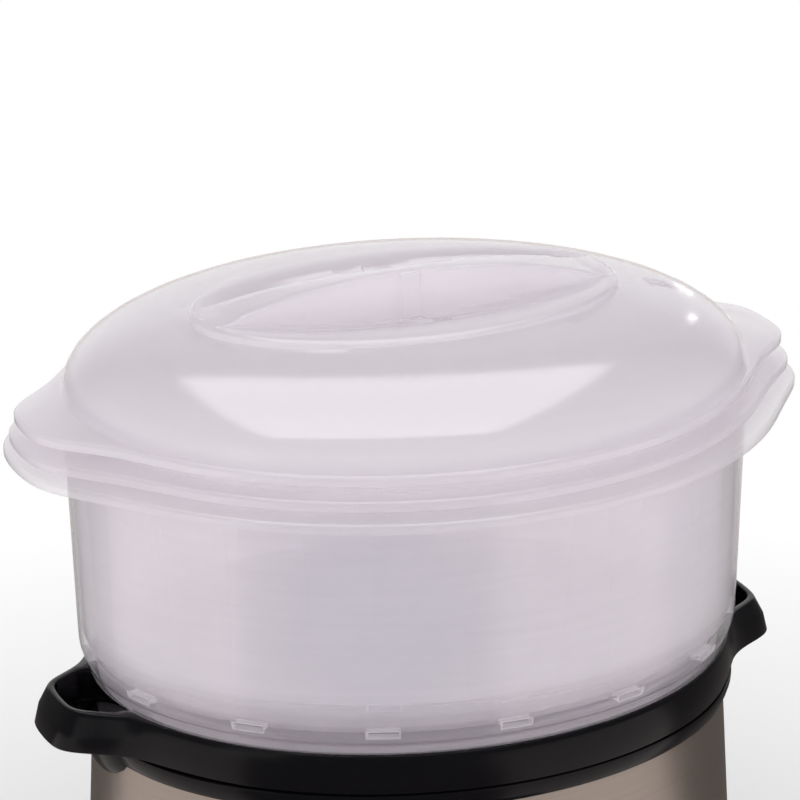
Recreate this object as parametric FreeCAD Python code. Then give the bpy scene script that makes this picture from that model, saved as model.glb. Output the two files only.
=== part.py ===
"""Electric food steamer: oval base with a timer, two nesting baskets and a domed lid.

Millimetres, +Z up, +X along the long axis, the timer knob at the front (-Y).
The origin is on the table under the middle of the base.
"""
import FreeCAD, Part
import os
from math import cos, pi, radians, sin, sqrt

V = FreeCAD.Vector

# Driving sizes -----------------------------------------------------------------------------

# Plan: every oval is an ellipse with these half axes plus an offset.
half_length = 132.0          # foot ring of the large basket, outside, along X
half_width = 113.5           # the same along Y
seat_height = 135.0          # table to the collar's top, where the large basket stands
lift_gap = 0.3               # gap under each piece that lifts off

# Baskets
basket_wall = 2.0
basket_floor = 2.2
foot_height = 6.5            # foot ring below the basket floor
large_flange_height = 99.0   # foot to the underside of the flange
medium_flange_height = 96.6
taper_height = 97.2          # height at which the wall has its top offset
flange_plate = 2.0
flange_lip = 2.0             # lip below the flange
wall_bottom_offset = 3.9     # wall outside, just above the rounded corner
wall_top_offset = 6.7        # wall outside, just under the flange
foot_straight = 4.5          # straight part of the foot ring, below the rounded corner
corner_height = 15.0         # foot to the top of the rounded corner
nest_gap = 3.2               # wall of one basket to the next one inside it
large_flange_offset = 18.4
medium_flange_offset = 11.6
large_tab_reach = 164.4      # middle to the end of a lifting tab
medium_tab_reach = 162.4
large_tab_half_span = 43.0   # half the width of a tab
medium_tab_half_span = 39.0
tab_squareness = 4.6         # how straight the end of a tab is
lid_seat_rise = 8.5          # mouth of the medium basket above its flange's underside
drain_slots = 15
drain_slot_length = 12.0
drain_slot_height = 2.6
drain_slot_rise = 0.8        # middle of a slot above the floor's top
floor_hole_width = 3.0
floor_hole_length = 9.0
floor_ring_count = 4
floor_ring_offset = -20.0    # first ring of floor slots
floor_ring_pitch = 20.0
floor_hole_pitch = 26.0

# Lid
lid_wall = 2.0
lid_flange_offset = 8.5
lid_tab_reach = 160.6
lid_tab_half_span = 33.0
brim_rise = 5.7              # underside of the brim to the crease of the dome
crease_offset = 6.0
dome_height = 27.6
dome_fullness = 4.0
dome_shoulder = 1.71
rib_gap = 0.8                # locating rib to the mouth of the medium basket
rib_depth = 4.0
rib_wall = 1.8
island_half_length = 89.0    # raised oval round the hand grip
island_half_width = 58.0
island_step = 1.3            # island above the dome's crown
scoop_half_length = 88.0
scoop_depth = 37.0           # hollow, across, from the ridge to its front edge
scoop_drop = 11.0            # deepest point of the hollow, at the ridge's foot
scoop_bowl = 1.3             # 1 for a cone, 2 for a round bowl
ridge_half_width = 4.2       # in the middle
ridge_flare = 9.4            # how much wider each side gets towards the ends
ridge_flare_power = 1.8
ridge_half_length = 86.0
ridge_rise = 9.2             # ridge above the island, in the middle
ridge_fall = 11.3            # arch, from the middle down to the ends
ridge_fall_power = 2.6
pilaster_half_width = 4.0
pilaster_proud = 1.5
strap_proud = 1.2            # strap over the hollows' floor, in line with the pilaster
vent_x = 100.5               # steam vent in the dome, from the middle to its near corner
vent_y = -6.3
vent_length = 9.5
vent_width = 10.0

# Collar and its filler handles
collar_height = 15.6
collar_wall = 2.0
collar_top_offset = 0.6
collar_bottom_offset = 1.8
land_width = 3.6             # top land that carries the basket's foot
ledge_depth = 2.3            # land down to the ledge of the drip tray
ledge_plate = 2.0
collar_bore_offset = -11.0
handle_reach = 157.5
handle_top_reach = 151.5
handle_half_span = 27.0
handle_squareness = 6.0      # how straight the end of a handle is
pocket_reach = 149.0
pocket_half_span = 21.0
pocket_floor = 2.0
lobe_root = 127.0            # rounded sump under each handle: middle of its ellipse
lobe_reach = 12.0
lobe_half_span = 25.0
lobe_drop = 20.5             # collar's lower edge to the lowest point of the sump
lobe_gap = 0.3

# Trim ring and steel sleeve
groove_gap = 1.0             # shadow groove between the collar and the trim ring
trim_height = 7.9
trim_top_offset = 0.8
trim_bottom_offset = -1.5
trim_shoulder = 4.2
trim_bore_offset = -5.5
sleeve_wall = 0.8
sleeve_top_offset = -2.9
sleeve_bottom_offset = 2.3
base_stretch = 2.4             # the sleeve, its trim and the plate are longer than the collar by this, each end
fit_gap = 0.2                # between fixed pieces that slip together

# Base plate, feet and columns
foot_pad_height = 4.0
foot_pad_radius = 9.0
foot_pad_recess = 1.5
foot_pad_x = 92.0
foot_pad_y = 66.0
plate_thickness = 3.0
plate_edge_height = 10.0
plate_offset = 3.2
plate_upstand = 6.0
plate_rim = 2.0
column_x = 78.0
column_y = 46.0
column_radius = 5.5
column_boss_height = 5.0
screw_radius = 2.0
screw_head_radius = 3.8
screw_head_height = 2.4
screw_bite = 10.0
air_slots = 7
air_slot_length = 34.0
air_slot_width = 3.0
air_slot_pitch = 8.0

# Water tank
tank_wall = 2.5
tank_flange = 2.0
tank_flange_offset = -2.4
tank_top_offset = -14.0
tank_bottom_offset = -18.0
tank_corner = 5.0
tank_floor_height = 70.0     # underside of the tank floor
tank_screw_count = 6
tank_screw_offset = -8.4
small_screw_radius = 1.4
small_head_radius = 2.6
small_head_height = 1.6

# Heater
heater_hole_radius = 40.0
dish_radius = 48.0
dish_wall = 0.8
dish_crown_radius = 38.0
dish_crown = 5.8
seal_thickness = 2.0
seal_width = 7.5
clamp_radius = 56.0
clamp_thickness = 2.0
clamp_screw_circle = 52.0
clamp_screw_count = 6
heat_plate_thickness = 3.0
element_radius = 28.0
element_tube = 3.3
element_gap_angle = 60.0
element_pin_length = 13.0
element_pin_radius = 1.6
cutout_radius = 8.0
cutout_height = 8.0
cutout_bracket_half = 19.0
cutout_bracket_width = 9.0
cutout_bracket_metal = 1.0
fuse_radius = 2.2
fuse_length = 18.0
fuse_offset = 15.0

# Timer, panel and knob
timer_height = 52.0          # table to the timer's axis
panel_radius = 35.0
panel_face = 117.5           # middle to the front of the bezel
panel_plug_radius = 31.5
dial_recess_radius = 30.0
dial_face = 110.0            # middle to the floor of the recess
dial_floor = 3.0
dial_plate_thickness = 0.8
dial_plate_bore = 16.5
knob_radius = 19.0
knob_front = 126.5
knob_gap = 1.2
knob_skirt = 5.0
knob_grip_half = 4.0
knob_draft = 1.2
shaft_radius = 3.0
shaft_clearance = 0.06
shaft_into_knob = 11.0
timer_half = 20.0
timer_low = 17.0             # axis down to the underside of the timer
timer_high = 16.0            # axis up to its top
timer_depth = 30.0
timer_screw_x = 12.5
bell_radius = 15.0
bell_depth = 6.0
bracket_metal = 1.5
bracket_foot = 12.0
lamp_angle = 270.0
lamp_circle = 25.0
lens_radius = 3.0
lens_proud = 1.6
lamp_radius = 2.6
lamp_length = 14.0

# Mains inlet
gland_height = 28.0
gland_bore = 3.8
gland_radius = 7.0
gland_flange = 10.0
gland_flange_thickness = 2.5
gland_inside = 9.0
clamp_post_y = 92.0
clamp_half = 13.0
clamp_depth = 9.0
clamp_bar = 3.2
terminal_y = 70.0
terminal_half = 17.0
terminal_depth = 14.0
terminal_height = 13.0
terminal_ways = 3
lead_radius = 1.1

# Steam ring and drip tray
steam_ring_radius = 58.0
steam_ring_wall = 2.0
steam_ring_height = 42.0
steam_notch_count = 4
steam_notch_width = 14.0
steam_notch_height = 5.0
tray_flange = 1.8
tray_flange_gap = 0.4
tray_wall_offset = -13.5
tray_wall = 1.8
tray_depth = 9.0
chimney_radius = 32.0
chimney_height = 7.0

# Heights worked out from the sizes above ---------------------------------------------------

large_foot = seat_height + lift_gap
nest_pitch = foot_height + basket_floor + lift_gap
medium_foot = large_foot + nest_pitch
nest_rise = nest_pitch + medium_flange_height - large_flange_height - lift_gap
medium_shift = -(basket_wall + nest_gap)
medium_mouth = medium_foot + medium_flange_height + lid_seat_rise
brim = medium_mouth + lift_gap
crease = brim + brim_rise
crown = crease + dome_height
island_top = crown + island_step
collar_bottom = seat_height - collar_height
ledge = seat_height - ledge_depth
trim_top = collar_bottom - groove_gap
trim_bottom = trim_top - trim_height
sleeve_top = trim_bottom + trim_shoulder - fit_gap
sleeve_bottom = foot_pad_height + plate_edge_height
plate_top = foot_pad_height + plate_thickness
tank_floor_top = tank_floor_height + tank_wall
tank_flange_top = collar_bottom
dish_top = tank_floor_height - seal_thickness + dish_crown - dish_wall
heat_plate_top = dish_top - dish_wall
heat_plate_bottom = heat_plate_top - heat_plate_thickness
timer_front = dial_face - dial_floor


# Shared shapes -----------------------------------------------------------------------------

def oval(offset, z, stretch=0.0):
    """Ellipse with the base's half axes plus an offset, and a little longer where asked."""
    along = half_length + stretch + offset
    return Part.Wire([Part.Ellipse(V(0, 0, z), along, half_width + offset).toShape()])


def oval_stack(profile, stretch=0.0):
    """Solid through ovals: profile is a list of (offset, z) from the bottom up."""
    return Part.makeLoft([oval(offset, z, stretch) for offset, z in profile], True, True)


def outline(offset, z, reach, half_span, squareness):
    """Oval with a rounded tab at each end of the long axis, as one smooth closed curve."""
    count = 96
    points = []
    for k in range(count):
        s = 2 * pi * k / count
        t = s - 0.3 * sin(2 * s)
        y = (half_width + offset) * sin(t)
        tab = (reach - half_length - offset) / (1 + (abs(y) / half_span) ** squareness)
        along = (half_length + offset) * cos(t)
        end = tab if cos(t) > 0 else -tab
        points.append(V(along + (end if abs(cos(t)) > 0.3 else 0), y, z))
    curve = Part.BSplineCurve()
    curve.interpolate(Points=points, PeriodicFlag=True)
    return Part.Wire([curve.toShape()])


def outline_stack(sections, squareness):
    """Solid through tabbed outlines: sections is a list of (offset, z, reach, half_span)."""
    return Part.makeLoft([outline(*section, squareness) for section in sections], True, True)


def cylinder(radius, x, y, z, height, direction=V(0, 0, 1)):
    return Part.makeCylinder(radius, height, V(x, y, z), direction)


def front_cylinder(radius, x, z, front, back):
    """Cylinder along Y between two distances in front of the middle (front > back)."""
    return Part.makeCylinder(radius, front - back, V(x, -front, z), V(0, 1, 0))


def ring(outer, inner, z, height):
    return cylinder(outer, 0, 0, z, height).cut(cylinder(inner, 0, 0, z, height))


def block(x0, x1, y0, y1, z0, z1):
    return Part.makeBox(x1 - x0, y1 - y0, z1 - z0, V(x0, y0, z0))


def turned(shape, degrees):
    copy = shape.copy()
    copy.rotate(V(0, 0, 0), V(0, 0, 1), degrees)
    return copy


def joined(shapes):
    return shapes[0].multiFuse(shapes[1:]).removeSplitter() if len(shapes) > 1 else shapes[0]


def sleeve_offset(z):
    """Offset of the sleeve's outside, which leans out towards the table."""
    share = (sleeve_top - z) / (sleeve_top - sleeve_bottom)
    return sleeve_top_offset + share * (sleeve_bottom_offset - sleeve_top_offset)


def sleeve_stack(extra, z0, z1):
    profile = [(sleeve_offset(z0) + extra, z0), (sleeve_offset(z1) + extra, z1)]
    return oval_stack(profile, base_stretch)


def four_corners(x, y):
    return [(sx * x, sy * y) for sx in (-1, 1) for sy in (-1, 1)]


# Baskets -----------------------------------------------------------------------------------

def wall_offset(height):
    """Offset of a basket's wall outside, at a height above its foot."""
    share = (height - corner_height) / (taper_height - corner_height)
    return wall_bottom_offset + share * (wall_top_offset - wall_bottom_offset)


def basket_outside(foot, shift, mouth):
    profile = [(shift, foot)]
    for k in range(6):
        turn = pi / 2 * k / 5
        height = foot_straight + (corner_height - foot_straight) * (1 - cos(turn))
        profile.append((shift + wall_bottom_offset * sin(turn), foot + height))
    profile.append((shift + wall_offset(mouth), foot + mouth))
    return oval_stack(profile)


def basket_inside(foot, shift, mouth):
    floor_top = foot_height + basket_floor
    bowl = oval_stack([
        (shift + 0.9 - basket_wall, foot + floor_top),
        (shift + wall_bottom_offset - basket_wall, foot + corner_height + 1),
        (shift + wall_offset(mouth) - basket_wall, foot + mouth),
    ])
    under = oval_stack([
        (shift - basket_wall, foot),
        (shift - basket_wall, foot + foot_height),
    ])
    return bowl, under


def drain_cutters(foot, shift):
    """Slots all round the corner where the wall meets the floor."""
    low = foot + foot_height + basket_floor + drain_slot_rise - drain_slot_height / 2
    lean = (half_length - half_width) / (half_length + half_width) / 2
    cutters = []
    for k in range(drain_slots):
        even = radians(-91.3 + 360.0 * k / drain_slots)
        t = even + lean * sin(2 * even)
        x = (half_length + shift) * cos(t)
        y = (half_width + shift) * sin(t)
        slope = V(x / (half_length + shift) ** 2, y / (half_width + shift) ** 2, 0)
        slot = Part.makeBox(5 * basket_wall, drain_slot_length, drain_slot_height,
                            V(-2 * basket_wall, -drain_slot_length / 2, 0))
        slot.rotate(V(0, 0, 0), V(0, 0, 1), V(1, 0, 0).getAngle(slope) * 180 / pi * (1 if y >= 0 else -1))
        slot.translate(V(x, y, low))
        cutters.append(slot)
    return cutters


def floor_cutters(foot, shift):
    """Rings of short slots through the floor, each slot along its ring."""
    cutters = []
    for ring_number in range(floor_ring_count):
        a = half_length + shift + floor_ring_offset - ring_number * floor_ring_pitch
        b = half_width + shift + floor_ring_offset - ring_number * floor_ring_pitch
        count = int(pi * (a + b) / floor_hole_pitch)
        for k in range(count):
            t = 2 * pi * (k + 0.5) / count
            slot = Part.makeBox(floor_hole_length, floor_hole_width, 3 * basket_floor,
                                V(-floor_hole_length / 2, -floor_hole_width / 2, -basket_floor))
            heading = V(-a * sin(t), b * cos(t), 0)
            turn = V(1, 0, 0).getAngle(heading) * 180 / pi
            slot.rotate(V(0, 0, 0), V(0, 0, 1), turn if heading.y >= 0 else -turn)
            slot.translate(V(a * cos(t), b * sin(t), foot + foot_height))
            cutters.append(slot)
    return cutters


def basket(foot, shift, height, flange_offset, reach, half_span, rise):
    """Basket whose mouth stands above its flange, so that the next piece rests on the mouth."""
    under_flange = foot + height
    mouth = height + rise
    outside = basket_outside(foot, shift, mouth)
    plate = outline_stack([
        (flange_offset, under_flange - flange_lip, reach, half_span),
        (flange_offset, under_flange + 0.5 * flange_plate, reach, half_span),
        (flange_offset - 1, under_flange + flange_plate, reach - 1, half_span),
    ], tab_squareness)
    hollow = outline_stack([
        (flange_offset - basket_wall, under_flange - flange_lip, reach - basket_wall, half_span),
        (flange_offset - basket_wall, under_flange, reach - basket_wall, half_span),
    ], tab_squareness).cut(outside)
    bowl, under = basket_inside(foot, shift, mouth)
    body = outside.fuse(plate.cut(hollow)).cut(bowl).cut(under)
    return body.cut(Part.makeCompound(drain_cutters(foot, shift) + floor_cutters(foot, shift)))


# Lid ---------------------------------------------------------------------------------------

def dome_stack(inset):
    """Dome as ovals whose size falls off towards a nearly flat crown."""
    a = half_length + crease_offset - inset
    b = half_width + crease_offset - inset
    wires = []
    for k in range(14):
        share = cos(radians(75.0 * k / 13))
        rise = (dome_height - inset) * (1 - share ** dome_fullness) ** (1 / dome_shoulder)
        wires.append(Part.Wire([Part.Ellipse(V(0, 0, crease + rise), share * a, share * b).toShape()]))
    return Part.makeLoft(wires, True, True)


def ellipse_prism(a, b, z0, z1, y=0.0):
    big = Part.Ellipse(V(0, y, z0), a, b)
    return Part.Face(Part.Wire([big.toShape()])).extrude(V(0, 0, z1 - z0))


def island(inset):
    top = island_top - inset
    a = island_half_length - inset
    b = island_half_width - inset
    rims = ((0.0, crown - dome_height / 2), (0.0, top - 1.2), (1.5, top))
    wires = [Part.Wire([Part.Ellipse(V(0, 0, z), a - draw, b - draw).toShape()]) for draw, z in rims]
    return Part.makeLoft(wires, True, True)


def ridge_side(x):
    return ridge_half_width + ridge_flare * (abs(x) / ridge_half_length) ** ridge_flare_power


def ridge_top(x):
    return island_top + ridge_rise - ridge_fall * (abs(x) / ridge_half_length) ** ridge_fall_power


def ridge_steps(inset):
    return [(ridge_half_length - inset) * k / 8 for k in range(-8, 9)]


def closed_by_lines(curve, corners):
    """Face between a curve and the straight lines through the given corners."""
    points = [curve.EndPoint] + corners + [curve.StartPoint]
    lines = [Part.makeLine(a, b) for a, b in zip(points, points[1:])]
    return Part.Face(Part.Wire([curve.toShape()] + lines))


def ridge_plan(inset, z0, z1):
    """Prism as wide as the grip: narrow in the middle, wide at the ends."""
    steps = ridge_steps(inset)
    halves = []
    for side in (-1, 1):
        curve = Part.BSplineCurve()
        curve.interpolate([V(x, side * (ridge_side(x) - inset), z0) for x in steps])
        face = closed_by_lines(curve, [V(steps[-1], 0, z0), V(steps[0], 0, z0)])
        halves.append(face.extrude(V(0, 0, z1 - z0)))
    return halves[0].fuse(halves[1]).removeSplitter()


def ridge(inset):
    """Grip along the long axis: an arched bar with a pilaster across its middle."""
    base = island_top - scoop_drop - 1
    reach = ridge_side(ridge_half_length) + 5
    steps = ridge_steps(inset)
    crest = Part.BSplineCurve()
    crest.interpolate([V(x, -reach, ridge_top(x) - inset) for x in steps])
    face = closed_by_lines(crest, [V(steps[-1], -reach, base), V(steps[0], -reach, base)])
    arch = face.extrude(V(0, 2 * reach, 0))
    bar = ridge_plan(inset, base - 5, island_top + ridge_rise + 5).common(arch)
    proud = ridge_half_width - inset + pilaster_proud
    pilaster = block(-pilaster_half_width + inset, pilaster_half_width - inset, -proud, proud,
                     base, island_top + ridge_rise - inset - 0.5)
    return bar.fuse(pilaster)


def bowl(grow):
    """Cutter for the near hollow: a shallow bowl, deepest at the ridge's foot."""
    levels = [(1.0, island_top + ridge_rise + 5)]
    for share in (1.0, 0.84, 0.68, 0.52, 0.36, 0.2, 0.08):
        levels.append((share, island_top - grow - scoop_drop * (1 - share ** scoop_bowl)))
    wires = []
    for share, z in levels:
        big = Part.Ellipse(V(0, -ridge_half_width, z), share * scoop_half_length + grow,
                           share * scoop_depth + grow)
        wires.append(Part.Wire([big.toShape()]))
    whole = Part.makeLoft(wires, True, True)
    far = block(-2 * scoop_half_length, 2 * scoop_half_length, -1, 2 * scoop_depth,
                island_top - 2 * scoop_drop, island_top + ridge_rise + 10)
    return whole.cut(far)


def scoops(grow):
    """Two half-moon finger hollows, one on each side of the ridge."""
    plan = ridge_plan(grow, island_top - 2 * scoop_drop, island_top + ridge_rise + 10)
    hollow = bowl(grow).cut(plan)
    return [hollow, turned(hollow, 180)]


def straps():
    """A low strap over each hollow's floor, from the pilaster to the hollow's front edge."""
    band = block(-pilaster_half_width, pilaster_half_width, -ridge_half_width - scoop_depth - 1,
                 -ridge_half_width + 1, island_top - scoop_drop - 1, island_top - 0.4)
    strap = bowl(0).common(band).cut(bowl(-strap_proud))
    return [strap, turned(strap, 180)]


def make_lid():
    brim_plate = outline_stack([
        (lid_flange_offset, brim - flange_lip, lid_tab_reach, lid_tab_half_span),
        (lid_flange_offset, brim + 0.5 * lid_wall, lid_tab_reach, lid_tab_half_span),
        (lid_flange_offset - 1, brim + lid_wall, lid_tab_reach - 1, lid_tab_half_span),
    ], tab_squareness)
    slope = oval_stack([(lid_flange_offset - 1.2, brim + lid_wall), (crease_offset, crease)])
    rib_outer = medium_shift + wall_offset(medium_flange_height + lid_seat_rise) - basket_wall - rib_gap
    rib = oval_stack([(rib_outer, brim - rib_depth), (rib_outer, brim)])
    lip_hollow = outline_stack([
        (lid_flange_offset - lid_wall, brim - flange_lip, lid_tab_reach - lid_wall, lid_tab_half_span),
        (lid_flange_offset - lid_wall, brim, lid_tab_reach - lid_wall, lid_tab_half_span),
    ], tab_squareness)
    outside = brim_plate.cut(lip_hollow).fuse([slope, rib, dome_stack(0), island(0)])
    outside = outside.cut(Part.makeCompound(scoops(0)))
    grip = ridge(0).fuse(straps())
    inner_rib = rib_outer - rib_wall
    inside = oval_stack([
        (inner_rib, brim - rib_depth),
        (inner_rib, brim),
        (crease_offset - lid_wall - 1.5, brim + 0.6 * brim_rise),
        (crease_offset - lid_wall, crease),
    ]).fuse([dome_stack(lid_wall), island(lid_wall)])
    inside = inside.cut(Part.makeCompound(scoops(lid_wall)))
    inner_grip = ridge(lid_wall)
    vent = block(vent_x, vent_x + vent_width, vent_y - vent_length, vent_y, crease + brim_rise, crown + 5)
    return outside.fuse(grip).cut(inside.fuse(inner_grip)).cut(vent)


# Collar, trim ring and sleeve --------------------------------------------------------------

def collar_outside(inset):
    """Collar with its two handles; the sides lean out towards the table."""
    return outline_stack([
        (collar_bottom_offset - inset, collar_bottom, handle_reach - inset, handle_half_span - inset),
        (collar_bottom_offset - inset, collar_bottom + 0.5 * collar_height,
         handle_reach - 2 - inset, handle_half_span - inset),
        (collar_bottom_offset - 0.6 - inset, seat_height - 2, handle_top_reach + 1 - inset,
         handle_half_span - 2 - inset),
        (collar_top_offset - inset, seat_height, handle_top_reach - inset,
         handle_half_span - 3 - inset),
    ], handle_squareness)


def pockets(grow):
    """Open filler wells in the handles; water runs from them into the tank."""
    floor = collar_bottom + pocket_floor - grow
    well = outline_stack([
        (collar_top_offset - 2 + grow, floor, pocket_reach + grow, pocket_half_span + grow),
        (collar_top_offset - 2 + grow, seat_height + 1, pocket_reach + grow, pocket_half_span + grow),
    ], handle_squareness)
    half = pocket_half_span + 2 + grow
    inner = half_length + collar_bore_offset - 6
    ends = Part.makeCompound([
        block(inner, handle_reach, -half, half, floor, seat_height + 1),
        block(-handle_reach, -inner, -half, half, floor, seat_height + 1)])
    return well.common(ends)


def lobe_ellipsoids(extra, top):
    """Rounded sumps under the handles, as half ellipsoids."""
    made = []
    count = 8
    for side in (-1, 1):
        wires = []
        for k in range(count):
            turn = pi / 2 * (1 - (k + 0.4) / (count - 0.6))
            centre = V(side * lobe_root, 0, collar_bottom - (lobe_drop + extra) * sin(turn))
            across = V(0, (lobe_half_span + extra) * cos(turn), 0)
            along = V((lobe_reach + extra) * cos(turn), 0, 0)
            wires.append(Part.Wire([Part.Ellipse(centre + across, centre + along, centre).toShape()]))
        rim = V(side * lobe_root, 0, top)
        wires.append(Part.Wire([Part.Ellipse(rim + V(0, lobe_half_span + extra, 0),
                                             rim + V(lobe_reach + extra, 0, 0), rim).toShape()]))
        made.append(Part.makeLoft(wires, True, True))
    return made


def behind_lobes(extra):
    """Room that the sumps leave for the sleeve, the trim ring's shelf and the tank's flange."""
    offset = tank_flange_offset + lobe_gap + extra
    sleeve_room = sleeve_stack(lobe_gap + extra, trim_bottom - 2 * lobe_drop, sleeve_top)
    return sleeve_room.fuse(oval_stack([(offset, sleeve_top), (offset, collar_bottom)]))


def make_collar():
    body = collar_outside(0)
    bore = oval_stack([(collar_bore_offset, collar_bottom), (collar_bore_offset, seat_height)])
    land_inner = collar_top_offset - land_width
    recess = oval_stack([(land_inner, ledge), (land_inner, seat_height)])
    hollow = collar_outside(collar_wall).common(
        block(-400, 400, -400, 400, collar_bottom - 1, ledge - ledge_plate))
    inner_wall = oval_stack([
        (collar_bore_offset + collar_wall, collar_bottom),
        (collar_bore_offset + collar_wall, ledge - ledge_plate)])
    hollow = hollow.cut(inner_wall).cut(pockets(collar_wall))
    for x, y in tank_screw_points():
        hollow = hollow.cut(cylinder(small_head_radius, x, y, collar_bottom, collar_height - ledge_depth))
    body = body.cut(bore).cut(recess).cut(hollow).cut(pockets(0))
    lugs = [lobe.cut(behind_lobes(0)) for lobe in lobe_ellipsoids(0, collar_bottom + pocket_floor / 2)]
    wells = [lobe.cut(behind_lobes(collar_wall))
             for lobe in lobe_ellipsoids(-collar_wall, collar_bottom + pocket_floor + 1)]
    pilots = [cylinder(small_screw_radius, x, y, collar_bottom, 7) for x, y in tank_screw_points()]
    return body.fuse(lugs).cut(Part.makeCompound(wells)).cut(Part.makeCompound(pilots))


def tank_screw_points():
    """Screw places on the ring where the tank's flange meets the collar's inner wall."""
    points = []
    for k in range(tank_screw_count):
        t = radians(30 + 360.0 * k / tank_screw_count)
        points.append(((half_length + tank_screw_offset) * cos(t), (half_width + tank_screw_offset) * sin(t)))
    return points


def make_trim_ring():
    body = oval_stack([
        (trim_bottom_offset, trim_bottom),
        (trim_bottom_offset + 1.2, trim_bottom + 0.35 * trim_height),
        (trim_top_offset - 0.2, trim_bottom + 0.7 * trim_height),
        (trim_top_offset, trim_top)], base_stretch)
    bore = oval_stack([(trim_bore_offset, trim_bottom), (trim_bore_offset, trim_top)])
    rebate = sleeve_stack(fit_gap, trim_bottom, trim_bottom + trim_shoulder)
    seat = oval_stack([(tank_flange_offset + fit_gap, collar_bottom - tank_flange),
                       (tank_flange_offset + fit_gap, trim_top)])
    body = body.cut(bore).cut(rebate).cut(seat)
    return body.cut(Part.makeCompound([
        lobe.cut(behind_lobes(-lobe_gap / 2)) for lobe in lobe_ellipsoids(fit_gap, collar_bottom + 1)]))


def make_sleeve():
    body = sleeve_stack(0, sleeve_bottom, sleeve_top).cut(
        sleeve_stack(-sleeve_wall, sleeve_bottom, sleeve_top))
    body = body.cut(front_cylinder(panel_plug_radius + fit_gap, 0, timer_height, half_width + 20, 60))
    return body.cut(cylinder(gland_radius + fit_gap, 0, 60, gland_height, half_width, V(0, 1, 0)))


# Base plate --------------------------------------------------------------------------------

def make_base_plate():
    body = oval_stack([
        (plate_offset - 2.2, foot_pad_height),
        (plate_offset - 0.4, foot_pad_height + 1.6),
        (plate_offset, foot_pad_height + 4),
        (plate_offset, sleeve_bottom)], base_stretch)
    upstand = sleeve_stack(-sleeve_wall - fit_gap, sleeve_bottom, sleeve_bottom + plate_upstand)
    body = body.fuse(upstand)
    body = body.cut(sleeve_stack(-sleeve_wall - fit_gap - plate_rim, plate_top, sleeve_bottom + plate_upstand))
    bosses = [cylinder(column_radius + 1.5, x, y, foot_pad_height, plate_thickness + column_boss_height)
              for x, y in four_corners(column_x, column_y)]
    post = block(-clamp_half, clamp_half, clamp_post_y - clamp_depth / 2, clamp_post_y + clamp_depth / 2,
                 plate_top - 1, gland_height - gland_bore)
    body = body.fuse(bosses + [post])
    cuts = []
    for x, y in four_corners(column_x, column_y):
        cuts.append(cylinder(screw_radius + 0.1, x, y, 0, 40))
        cuts.append(cylinder(screw_head_radius + 0.3, x, y, 0, plate_top + 1))
    for x, y in four_corners(foot_pad_x, foot_pad_y):
        cuts.append(cylinder(foot_pad_radius, x, y, 0, foot_pad_height + foot_pad_recess))
    for k in range(air_slots):
        y = (k - (air_slots - 1) / 2) * air_slot_pitch
        cuts.append(block(-air_slot_length / 2, air_slot_length / 2, y - air_slot_width / 2,
                          y + air_slot_width / 2, 0, plate_top))
    for x, y, depth in plate_screw_points():
        cuts.append(cylinder(small_screw_radius, x, y, depth, 60))
    return body.cut(Part.makeCompound(cuts))


def plate_screw_points():
    """Pilot holes from above: the timer bracket's feet and the cord clamp's post."""
    foot_x = timer_half + bracket_foot / 2
    bracket_y = -(timer_front - timer_depth / 2)
    clamp_x = clamp_half - 4
    shallow = foot_pad_height + 1
    return [(-foot_x, bracket_y, shallow), (foot_x, bracket_y, shallow),
            (-clamp_x, clamp_post_y, plate_top), (clamp_x, clamp_post_y, plate_top)]


def make_feet():
    pads = []
    for x, y in four_corners(foot_pad_x, foot_pad_y):
        pad = Part.makeCone(foot_pad_radius - 1.5, foot_pad_radius, foot_pad_height, V(x, y, 0))
        pads.append(pad.fuse(cylinder(foot_pad_radius, x, y, foot_pad_height, foot_pad_recess)))
    return Part.makeCompound(pads)


def make_base_screws():
    screws = []
    for x, y in four_corners(column_x, column_y):
        seat = plate_top + 1
        head = cylinder(screw_head_radius, x, y, seat - screw_head_height, screw_head_height)
        shank = cylinder(screw_radius, x, y, seat, column_boss_height - 1 + screw_bite)
        screws.append(head.fuse(shank).cut(block(x - 3, x + 3, y - 0.5, y + 0.5,
                                                 seat - screw_head_height, seat - screw_head_height + 1)))
    return Part.makeCompound(screws)


# Water tank --------------------------------------------------------------------------------

def make_tank():
    flange_low = tank_flange_top - tank_flange
    outside = oval_stack([
        (tank_bottom_offset - tank_corner, tank_floor_height),
        (tank_bottom_offset, tank_floor_height + tank_corner),
        (tank_top_offset, tank_flange_top)])
    flange = oval_stack([(tank_flange_offset, flange_low), (tank_flange_offset, tank_flange_top)])
    inside = oval_stack([
        (tank_bottom_offset - tank_corner - tank_wall + 0.8, tank_floor_top),
        (tank_bottom_offset - tank_wall, tank_floor_top + tank_corner),
        (tank_top_offset - tank_wall, tank_flange_top)])
    column_base = plate_top + column_boss_height
    columns = [cylinder(column_radius, x, y, column_base, tank_floor_height + 1 - column_base)
               for x, y in four_corners(column_x, column_y)]
    ring_bosses = [cylinder(3.6, x, y, tank_floor_height - seal_thickness - dish_wall,
                            seal_thickness + dish_wall + 1) for x, y in clamp_screw_points()]
    body = outside.fuse([flange] + columns + ring_bosses).cut(inside)
    cuts = [cylinder(heater_hole_radius, 0, 0, tank_floor_height - 1, 2 * tank_wall + 2)]
    for x, y in four_corners(column_x, column_y):
        cuts.append(cylinder(screw_radius, x, y, column_base, screw_bite + 2))
    for x, y in clamp_screw_points():
        cuts.append(cylinder(small_screw_radius, x, y, 0, tank_floor_top - 0.8))
    for x, y in tank_screw_points():
        cuts.append(cylinder(small_screw_radius + 0.1, x, y, flange_low, tank_flange))
    return body.cut(Part.makeCompound(cuts))


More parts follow.
